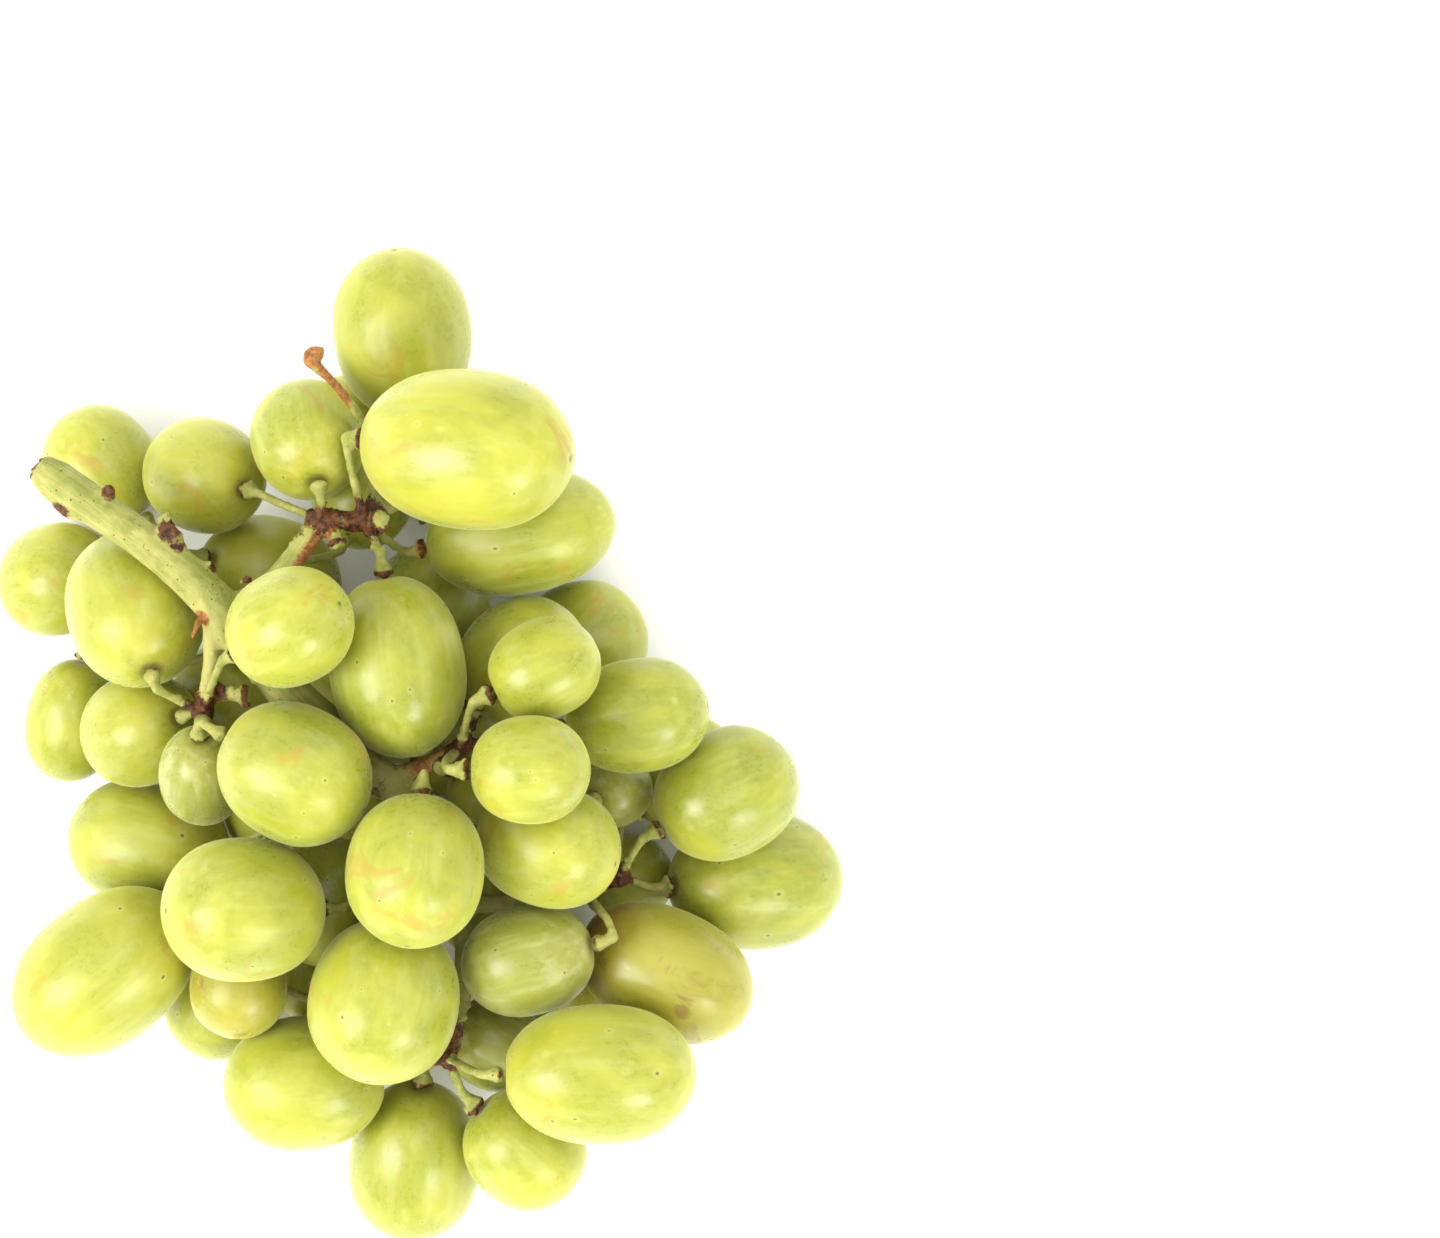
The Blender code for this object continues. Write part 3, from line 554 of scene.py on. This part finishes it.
def makeGrapes():
    stem = frame["nodes"]["rachis"].data.vertices
    stemTree = kdtree.KDTree(len(stem))
    for index, vertex in enumerate(stem):
        stemTree.insert(vertex.co, index)
    stemTree.balance()
    tree = makeGrapeTree()
    slots = {entry["node"]: entry["material_slot"] for entry in frame["record"]["subparts"]}
    random = np.random.default_rng(7)
    ends = []
    for name in sorted(frame["nodes"]):
        if not name.startswith("berry_"):
            continue
        centre, length, width, axis = fitGrape(meshPoints(frame["nodes"][name].data))
        length, width = length / swell, width / swell
        gaps = [stemTree.find(Vector(centre + way * axis * (length + stalkReach)))[2] for way in (1, -1)]
        axis = axis if gaps[0] < gaps[1] else -axis
        seed = float(random.uniform(0, 10))
        tone = ripenessAndPaintedShade.get(name, float(random.uniform(*otherRipeness)))
        grape = newObject(name.replace("berry", "grape"), bpy.data.meshes.new("grape"))
        addForm(grape, tree, {**grapeShape, "Length": float(length), "Width": float(width), "Seed": seed,
                              "Tone": tone, "Skin": grapeSkins[slots[name]]})
        applyModifiers(grape)
        turn = Vector((0, 0, 1)).rotation_difference(Vector(axis)).to_matrix().to_4x4()
        grape.data.transform(Matrix.Translation(Vector(centre)) @ turn)
        settleGrape(grape.data, centre)
        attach(grape, "root")
        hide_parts(name)
        ends.append((Vector(centre + axis * length), Vector(axis)))
    return ends


def settleGrape(mesh, centre):
    # draws a grape in where it would stand out of the solids' box, and flattens it where it rests
    points = meshPoints(mesh)
    low, high = (np.array(corner) for corner in cadBounds)
    low[2] = -1.0    # below the table, so that only the sides and the top draw it in
    room = min(np.min((low - centre) / (points.min(axis=0) - centre)),
               np.min((high - centre) / (points.max(axis=0) - centre)))
    points = centre + (points - centre) * min(1.0, room * 0.9995)    # a hair inside the box
    points[:, 2] = np.maximum(points[:, 2], 0.0)
    setMeshPoints(mesh, points)


stemEnds = makeGrapes()
print("grapes made:", len(stemEnds))


# Stem

stemShape = {
    "coarse": 0.50 * millimetre,      # spacing of the points that carry the warts
    "grain": 0.27 * millimetre,       # spacing of the finished skin's points
    "rounding": 2,                    # smoothing rounds
    "facesKept": 0.62,                # share of the skin's faces that stay, fewer on even stretches
    "fuller": 0.07 * millimetre,      # what the smoothing took off the thin stalks
    "knobbliness": 0.06 * millimetre,
    "ridges": 9,                      # fluting of the main stem
    "ridgeDepth": 0.075 * millimetre,
    "ridgeLength": 68 * millimetre,   # from the cut end
    "ridgeFade": 20 * millimetre,     # the last of that length, where the fluting grows shallower
    "ridgeLeast": 0.35,               # what is left of it further on
    "ridgeWander": ((190.0, 1.2), (71.0, 2.0)),    # the ridges don't run straight: how often and how much
    "ridgeReach": 4.2 * millimetre,   # how far the fluting reaches out from the main stem's middle
    "ridgeEdge": 1.0 * millimetre,
    "tipWidth": 5 * millimetre,       # how far the cut end's wear and browning reach out from it
    "tipWear": 0.30,                  # how much the cut end is rounded off
    "tipWearLength": 2.0 * millimetre,
    "tipSwell": 0.15 * millimetre,    # the cut end is thicker than the stem behind it
    "tipSwellReach": 6 * millimetre,
    "collarRadius": 1.62 * millimetre,
    "collarSpread": (0.8, 1.12),      # how much collars differ in size
    "bareSpread": (0.9, 1.1),         # and those that have lost their grape
    "collarGap": 0.25,                # millimetres between a collar and its grape's end
    "collarSides": 14,
    "collarWaves": (0.09, 0.05),      # unevenness of the rim: three broad waves, five narrow ones
    "scaleSides": 8,
    "scaleFlatness": 0.6,
    "wartsPerArea": 1.1e6,            # on a square metre of brown bark
    "wartRadius": 0.34 * millimetre,
    "lumpSize": 1.3 * millimetre,
}
# a collar's outline, as shares of its radius: distance out, and distance up the stalk
collarOutline = [
    (0.0, -0.30), (0.62, -0.28), (0.90, -0.12), (1.0, 0.10), (0.90, 0.36), (0.66, 0.66), (0.52, 1.1),
    (0.47, 1.6), (0.0, 1.6),
]
# ends of stalks that have lost their grape: the end and a point further down, in pixels and millimetres
bareEnds = [
    ((247, 695, 39), (222, 694, 38.5)), ((337, 545, 39), (333, 533, 38.5)), ((380, 519, 41), (374, 520, 39)),
    ((477, 704, 38), (470, 724, 36)), ((441, 768, 38), (450, 760, 36)),
]
# dry scales and the flat end of the dried twig: points, then the half width at each, in millimetres
scales = [
    ([(176, 556, 40), (176, 536, 42), (164, 517, 42.2)], (1.5, 1.2, 0.3)),
    ([(171, 548, 40.5), (186, 549, 41.5), (184, 560, 41.5)], (0.9, 0.6, 0.3)),
    ([(103, 496, 38.5), (110, 490, 39.5), (113, 488, 40)], (1.0, 1.1, 0.9)),
    ([(54, 504, 35.5), (64, 512, 36.5), (77, 521, 37)], (0.6, 0.7, 0.3)),
    ([(206, 560, 40), (212, 567, 41), (216, 572, 40.5)], (0.5, 0.8, 0.4)),
    ([(238, 584, 40), (247, 579, 41), (257, 581, 40)], (0.5, 0.8, 0.4)),
    ([(206, 615, 41), (199, 622, 42.5), (193, 634, 43), (189, 648, 42.5)], (0.6, 0.75, 0.5, 0.25)),
    ([(324, 352, 42.5), (314, 353, 43), (305, 358, 42.5)], (0.9, 1.3, 1.0)),
]
# where the stem is brown: across, down (pixels), height and reach (millimetres)
brownKnots = [
    (203, 713, 36, 4.2), (217, 692, 38, 2.2), (325, 518, 37, 3.8), (365, 521, 37, 4.6), (466, 742, 34, 4.0),
    (475, 722, 36, 2.2), (380, 783, 31, 2.4), (449, 760, 36, 2.0), (619, 876, 22, 3.4), (593, 903, 22, 2.5),
    (447, 1056, 25, 3.0), (450, 1030, 24.5, 3.0), (446, 1043, 25, 2.5), (213, 655, 39, 1.0),
    (110, 491, 39.5, 1.6), (170, 530, 42, 2.2), (177, 548, 41, 1.8), (61, 511, 36.5, 1.8),
    (212, 568, 41, 1.0), (247, 579, 41, 1.0), (305, 537, 37.5, 1.6), (296, 552, 37.5, 1.4),
]
# where it is dry and reddish: runs of points across, down and height, and the reach
dryRuns = [
    ([(345, 520, 37), (368, 510, 38), (392, 500, 38), (415, 492, 38)], 1.6),
    ([(375, 528, 37), (400, 538, 34), (425, 547, 30)], 1.6),
    ([(340, 402, 38), (331, 372, 41), (322, 354, 42.5), (306, 357, 43)], 2.0),
    ([(296, 577, 39), (313, 552, 39), (328, 530, 38.5)], 1.7),
    ([(201, 619, 42), (193, 634, 43), (189, 650, 42.5)], 1.5),
    ([(440, 1050, 25), (428, 1078, 24)], 1.6),
    ([(384, 776, 30.5), (420, 768, 33), (459, 750, 34)], 1.5),
]
# where it has faded to cream, in the same way
fadedRuns = [
    ([(207, 606, 41), (213, 640, 40), (208, 685, 38)], 2.2),
    ([(30, 470, 34), (60, 500, 35)], 1.6),
    ([(384, 772, 32.5), (440, 756, 35)], 2.0),
]
stemTip = (60, 484, 35)
# the lines that the stem's fibres follow
fibreRuns = [
    [(36, 466, 34), (122, 524, 38), (207, 594, 40), (290, 694, 35), (380, 778, 30), (424, 806, 29),
     (458, 905, 25), (468, 955, 24), (447, 1056, 25)],
    [(207, 594, 40), (212, 640, 39.5), (203, 713, 36)],
    [(222, 612, 39), (288, 566, 38), (322, 519, 37), (365, 521, 37)],
    [(380, 778, 30.5), (420, 768, 33), (459, 750, 34)],
    [(458, 905, 25), (575, 893, 20), (619, 876, 22)],
]
# how the stem is painted: shares of full colour, and distances
stemPaint = {
    "knot": 1.1,
    "cutEnd": 0.9,
    "cutLength": 1.3 * millimetre,
    "collar": 0.26,                   # the collar as a whole, and what its rim adds
    "collarReach": 2.6 * millimetre,
    "rim": 0.6,
    "rimStart": 1.0,                  # millimetres out from the stalk's middle
    "rimFade": 0.5,
    "rimHeight": 0.9 * millimetre,
    "fibreReach": 4.0 * millimetre,   # how far the lines of the fibres are followed
    "fibresAcross": 1800.0,           # per metre
    "fibresAlong": 0.18,              # per millimetre
}


def addRings(mesh, rings):
    # a closed skin over rings of points
    rows = [[mesh.verts.new(point) for point in ring] for ring in rings]
    for low, high in zip(rows, rows[1:]):
        for index in range(len(low)):
            after = (index + 1) % len(low)
            mesh.faces.new((low[index], low[after], high[after], high[index]))
    mesh.faces.new(list(reversed(rows[0])))
    mesh.faces.new(rows[-1])


def roundAngles(sides):
    return [2 * math.pi * side / sides for side in range(sides)]


def addCollar(mesh, end, axis, radius, random):
    # the flared cup at the end of a stalk; the axis points away from the grape
    turn = Vector((0, 0, 1)).rotation_difference(axis).to_matrix()
    phase = random.uniform(0, 6.28)
    broad, narrow = stemShape["collarWaves"]
    rings = []
    for out, up in collarOutline:
        ring = []
        for angle in roundAngles(stemShape["collarSides"]):
            wave = 1 + broad * math.sin(3 * angle + phase) + narrow * math.sin(5 * angle + 2 * phase)
            reach = max(out * wave, 0.02) * radius    # no ring shrinks to a point
            ring.append(end + turn @ Vector((reach * math.cos(angle), reach * math.sin(angle), up * radius)))
        rings.append(ring)
    addRings(mesh, rings)


def addScale(mesh, places, halves):
    # a small dry scale: a tapering run, flatter than it is wide
    points = runFromPhoto(places)
    flatness = stemShape["scaleFlatness"]
    rings = []
    for index, point in enumerate(points):
        way = (points[min(index + 1, len(points) - 1)] - points[max(index - 1, 0)]).normalized()
        side = way.cross(Vector((0, 0, 1))).normalized()
        up = side.cross(way)
        half = halves[index] * millimetre
        rings.append([point + side * half * math.cos(angle) + up * half * flatness * math.sin(angle)
                      for angle in roundAngles(stemShape["scaleSides"])])
    addRings(mesh, rings)


def nearRun(points, run):
    # each point's distance from a run of points, how far along it is, and its offset from the run
    best = np.full(len(points), 1.0)
    along = np.zeros(len(points))
    across = np.zeros((len(points), 3))
    turns = np.zeros(len(points))
    done = 0.0
    for first, second in zip(run, run[1:]):
        a, b = np.array(first), np.array(second)
        step = b - a
        size = np.linalg.norm(step)
        share = np.clip((points - a) @ step / size ** 2, 0, 1)
        away = points - a - share[:, None] * step
        distance = np.linalg.norm(away, axis=1)
        side = np.cross(step / size, (0, 0, 1))
        side = side / np.linalg.norm(side)
        up = np.cross(side, step / size)
        closer = distance < best
        best[closer] = distance[closer]
        along[closer] = (done + share * size)[closer]
        across[closer] = away[closer]
        turns[closer] = np.arctan2(away @ up, away @ side)[closer]
        done += size
    return best, along, across, turns


def falloff(distance, reach, power):
    # 1 in the middle, a third at the reach, and then soon nothing
    return np.exp(-(distance / reach) ** power)


def nearRuns(points, runs):
    # how much each point belongs to the nearest of several runs
    share = np.zeros(len(points))
    for run, reach in runs:
        distance = nearRun(points, runFromPhoto(run))[0]
        share = np.maximum(share, falloff(distance, reach * millimetre, 4))
    return share


def paintStem(mesh):
    points = meshPoints(mesh)
    brown = np.zeros(len(points))
    for across, down, height, reach in brownKnots:
        distance = np.linalg.norm(points - np.array(fromPhoto(across, down, height)), axis=1)
        brown = np.maximum(brown, falloff(distance, reach * millimetre, 2) * stemPaint["knot"])
    distance, along = nearRun(points, runFromPhoto(fibreRuns[0]))[:2]
    cut = falloff(along, stemPaint["cutLength"], 2) * (distance < stemShape["tipWidth"])
    brown = np.maximum(brown, stemPaint["cutEnd"] * cut)
    bare = [(fromPhoto(*end), (fromPhoto(*root) - fromPhoto(*end)).normalized()) for end, root in bareEnds]
    for end, axis in stemEnds + bare:
        offset = points - np.array(end)
        up = offset @ np.array(axis)
        out = np.linalg.norm(offset - up[:, None] * np.array(axis), axis=1)
        rim = np.clip((out / millimetre - stemPaint["rimStart"]) / stemPaint["rimFade"], 0, 1)
        rim *= falloff(up, stemPaint["rimHeight"], 4)
        near = falloff(np.linalg.norm(offset, axis=1), stemPaint["collarReach"], 4)
        brown = np.maximum(brown, near * (stemPaint["collar"] + stemPaint["rim"] * rim))
    fibre = points * 1000.0
    # painted light: each run's lower left side, where the left lamp falls, is painted paler and the far side
    # greener
    paintedLightSide = np.full(len(points), 0.5)
    nearest = np.full(len(points), stemPaint["fibreReach"])
    for run in fibreRuns:
        distance, along, across, turns = nearRun(points, runFromPhoto(run))
        close = distance < nearest
        nearest[close] = distance[close]
        paintedLightSide[close] = (0.5 + 0.5 * np.cos(turns))[close]
        lined = across * stemPaint["fibresAcross"]
        lined[:, 2] += along * 1000.0 * stemPaint["fibresAlong"]
        fibre[close] = lined[close]
    dry, faded = nearRuns(points, dryRuns), nearRuns(points, fadedRuns)
    for name, values in (("stemBrown", brown), ("stemDry", dry), ("stemFaded", faded), ("stemPaintedLightSide", paintedLightSide),
                         ("stemFibre", fibre)):
        kind, field = ("FLOAT", "value") if values.ndim == 1 else ("FLOAT_VECTOR", "vector")
        layer = mesh.attributes.get(name) or mesh.attributes.new(name, kind, "POINT")
        layer.data.foreach_set(field, values.ravel())


def fluteStem(mesh):
    # lengthwise ridges on the thick stem, and back to size after the smoothing
    points = meshPoints(mesh)
    normals = meshPoints(mesh, "normal")
    distance, along, across, turns = nearRun(points, runFromPhoto(fibreRuns[0]))
    near = np.clip((stemShape["ridgeReach"] - distance) / stemShape["ridgeEdge"], 0, 1)
    fade = np.clip((stemShape["ridgeLength"] - along) / stemShape["ridgeFade"], stemShape["ridgeLeast"], 1)
    turning = stemShape["ridges"] * turns
    for often, much in stemShape["ridgeWander"]:
        turning = turning + np.sin(along * often) * much
    push = stemShape["fuller"] + stemShape["ridgeDepth"] * np.cos(turning) * near * fade
    atTip = falloff(along, stemShape["tipWearLength"], 2) * (distance < stemShape["tipWidth"])
    fromTip = np.linalg.norm(points - np.array(fromPhoto(*stemTip)), axis=1)
    push += stemShape["tipSwell"] * falloff(fromTip, stemShape["tipSwellReach"], 4)
    points += normals * push[:, None] - across * (stemShape["tipWear"] * atTip)[:, None]
    setMeshPoints(mesh, points)


def makeWartTree():
    # small warts of bark on a surface, thick where it is brown
    tree, given, gives = newGroup(
        "bark warts", "GeometryNodeTree",
        [("Geometry", "NodeSocketGeometry", None), ("Warts Per Area", "NodeSocketFloat", 1.0e6),
         ("Wart Radius", "NodeSocketFloat", 0.0003), ("Seed", "NodeSocketInt", 3)],
        [("Geometry", "NodeSocketGeometry")])
    brown = addNode(tree, "GeometryNodeInputNamedAttribute", {"Name": "stemBrown"}, data_type="FLOAT")
    thick = plus(tree, maths(tree, "POWER", brown.outputs[0], 2.0), 0.002)    # and a few on the green
    spots = addNode(tree, "GeometryNodeDistributePointsOnFaces",
                    {"Mesh": given["Geometry"], "Density": times(tree, thick, given["Warts Per Area"]),
                     "Seed": given["Seed"]}, distribute_method="RANDOM")
    wart = addNode(tree, "GeometryNodeMeshIcoSphere", {"Radius": given["Wart Radius"], "Subdivisions": 2})
    size = addNode(tree, "FunctionNodeRandomValue",
                   {2: 0.7, 3: 1.7, "Seed": given["Seed"]}, data_type="FLOAT")    # smallest and largest
    placed = addNode(tree, "GeometryNodeInstanceOnPoints",
                     {"Points": spots.outputs["Points"], "Instance": wart.outputs["Mesh"],
                      "Rotation": spots.outputs["Rotation"], "Scale": size.outputs[1]})
    joined = tree.nodes.new("GeometryNodeJoinGeometry")
    tree.links.new(placed.outputs[0], joined.inputs[0])
    tree.links.new(given["Geometry"], joined.inputs[0])
    real = addNode(tree, "GeometryNodeRealizeInstances", {0: joined.outputs[0]}).outputs[0]
    dressed = addNode(tree, "GeometryNodeSetMaterial", {"Geometry": real, "Material": stemSkin}).outputs[0]
    tree.links.new(dressed, gives["Geometry"])
    return tree


def addRemesh(item, size):
    skin = item.modifiers.new("skin", "REMESH")
    skin.mode = "VOXEL"
    skin.voxel_size = size


def makeStem():
    random = np.random.default_rng(11)
    mesh = bmesh.new()
    mesh.from_mesh(frame["nodes"]["rachis"].data)
    bmesh.ops.remove_doubles(mesh, verts=mesh.verts, dist=0.001 * millimetre)
    for end, axis in stemEnds:
        radius = stemShape["collarRadius"] * random.uniform(*stemShape["collarSpread"])
        addCollar(mesh, end + axis * stemShape["collarGap"] * millimetre, axis, radius, random)
    for end, root in bareEnds:
        end, root = fromPhoto(*end), fromPhoto(*root)
        radius = stemShape["collarRadius"] * random.uniform(*stemShape["bareSpread"])
        addCollar(mesh, end, (root - end).normalized(), radius, random)
    for places, halves in scales:
        addScale(mesh, places, halves)
    bmesh.ops.recalc_face_normals(mesh, faces=mesh.faces)
    data = bpy.data.meshes.new("stem")
    mesh.to_mesh(data)
    mesh.free()
    stem = newObject("stem", data)
    addRemesh(stem, stemShape["coarse"])
    applyModifiers(stem)
    paintStem(stem.data)
    addForm(stem, makeWartTree(), {"Warts Per Area": stemShape["wartsPerArea"],
                                   "Wart Radius": stemShape["wartRadius"]})
    addRemesh(stem, stemShape["grain"])
    rounded = stem.modifiers.new("rounded", "SMOOTH")
    rounded.factor = 0.5
    rounded.iterations = stemShape["rounding"]
    lumps = bpy.data.textures.new("lumps", "CLOUDS")
    lumps.noise_scale = stemShape["lumpSize"]
    knobbly = stem.modifiers.new("knobbly", "DISPLACE")
    knobbly.texture = lumps
    knobbly.texture_coords = "LOCAL"
    knobbly.mid_level = 0.45
    knobbly.strength = 2 * stemShape["knobbliness"]
    lighter = stem.modifiers.new("fewer faces", "DECIMATE")
    lighter.ratio = stemShape["facesKept"]
    applyModifiers(stem)
    fluteStem(stem.data)
    stem.data.shade_smooth()
    stem.data.materials.clear()
    stem.data.materials.append(stemSkin)
    paintStem(stem.data)
    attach(stem, "root")
    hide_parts("rachis")
    print("stem faces:", len(stem.data.polygons))


makeStem()


# Floor, light and camera

floorLook = {
    "size": 6,               # metres
    "shades": ((0.90, 0.90, 0.895, 1), (0.92, 0.92, 0.915, 1)),
    "shadeScale": 60.0,
    "roughness": 0.7,
}


def makeFloor():
    bpy.ops.mesh.primitive_grid_add(x_subdivisions=2, y_subdivisions=2, size=floorLook["size"])
    floor = bpy.context.object
    floor.name = "floor"
    material, tree, shader = newMaterial("paleFloor")
    place = addNode(tree, "ShaderNodeTexCoord").outputs["Object"]
    tone = span(tree, noise(tree, place, floorLook["shadeScale"], detail=2.0)[0], 0.2, 0.8)
    setInputs(tree, shader, {"Base Color": blendColour(tree, tone, *floorLook["shades"]),
                             "Roughness": floorLook["roughness"]})
    floor.data.materials.append(material)


lights = {
    "left": {"from": (-0.70, -0.24, 0.72), "away": 1.1, "size": (0.58, 0.64), "power": 14},
    "lowerRight": {"from": (0.50, -0.66, 0.58), "away": 1.1, "size": (0.40, 0.40), "power": 6},
    "above": {"from": (0.15, 0.25, 1.0), "away": 1.7, "size": (1.0, 1.0), "power": 4},
}
surround = 1.6


def makeLights():
    middle = Vector((0, 0, 0.03))    # of the bunch
    for name, look in lights.items():
        lamp = bpy.data.lights.new(name, "AREA")
        lamp.shape = "RECTANGLE"
        lamp.size, lamp.size_y = look["size"]
        lamp.energy = look["power"]
        item = newObject(name, lamp)
        way = Vector(look["from"]).normalized()
        item.location = middle + way * look["away"]
        item.rotation_euler = way.to_track_quat("Z", "Y").to_euler()
    world = bpy.data.worlds.new("studio")
    world.use_nodes = True
    background = world.node_tree.nodes["Background"]
    setInputs(world.node_tree, background, {"Color": (1, 1, 1, 1), "Strength": surround})
    bpy.context.scene.world = world
    bpy.context.scene.view_settings.view_transform = "Standard"


def makeCamera():
    view = bpy.data.cameras.new("camera")
    view.sensor_width = photo["sensor"]
    view.lens = photo["sensor"] * photo["eyeHeight"] / (photo["width"] * photo["pixel"])
    view.clip_start, view.clip_end = photo["clip"]
    camera = newObject("camera", view)
    camera.location = (*photo["over"], photo["eyeHeight"])
    bpy.context.scene.camera = camera


makeFloor()
makeLights()
makeCamera()
print("studio made")
